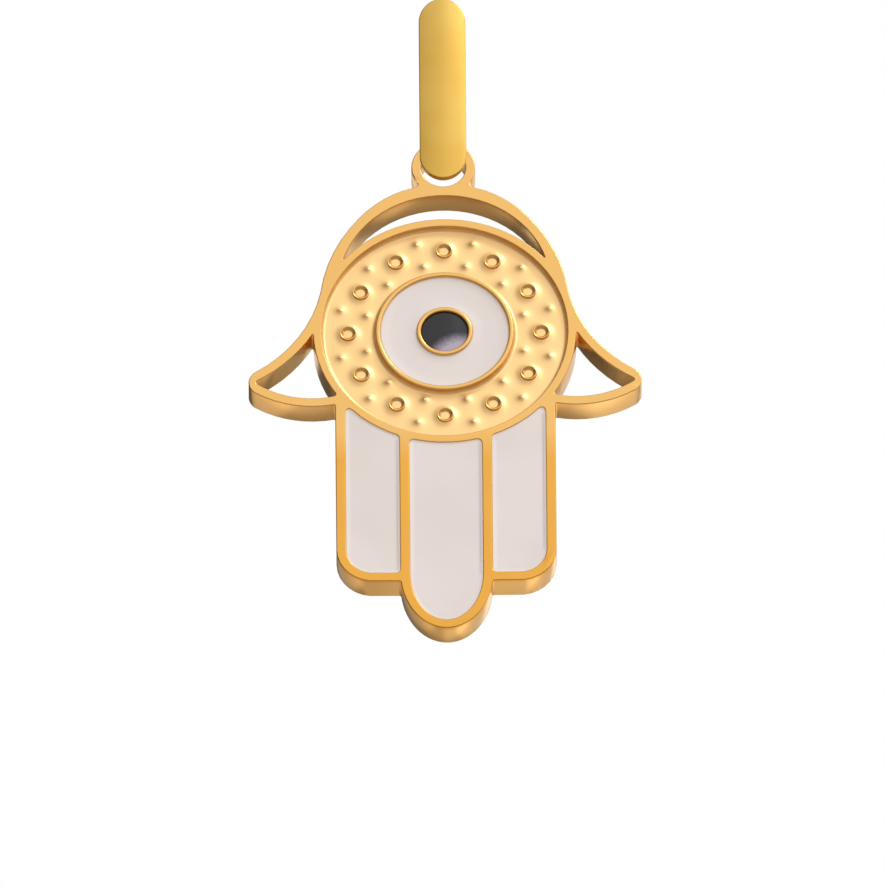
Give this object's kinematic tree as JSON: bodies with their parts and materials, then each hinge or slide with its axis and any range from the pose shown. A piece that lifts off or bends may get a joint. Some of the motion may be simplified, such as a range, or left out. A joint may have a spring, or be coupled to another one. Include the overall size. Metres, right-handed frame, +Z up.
{
  "type": "hamsa pendant",
  "caption": "Flat hand-shaped pendant with an enamelled eye, enamelled fingers and pierced thumbs, hanging by an eyelet from a long leaf bail that a chain runs through.",
  "frame": {"origin": "the inside top of the bail, where the chain it hangs on runs through", "axes": "+Z is up, so the pendant hangs along -Z; the front faces -Y; X runs across the hand, and the chain runs along X"},
  "size_m": [0.016, 0.0027, 0.0302],
  "materials": {
    "plate_gold": "gold-plated, polished face over a satin floor",
    "ivory_enamel": "glossy opaque enamel",
    "black_enamel": "glossy black domed enamel",
    "bail_gold": "gold-plated, brushed across"
  },
  "bodies": {
    "bail": {"bail": "bail_gold"},
    "hand": {"hand_frame": "plate_gold", "enamel_finger_left": "ivory_enamel", "enamel_finger_middle": "ivory_enamel", "enamel_finger_right": "ivory_enamel", "enamel_eye": "ivory_enamel", "pupil": "black_enamel"}
  },
  "joints": [
    {"name": "hand_swing", "type": "hinge", "parent": "bail", "child": "hand", "pos_m": [0, 0, -0.00617], "axis": [1, 0, 0], "range_deg": [-5, 110]}
  ]
}
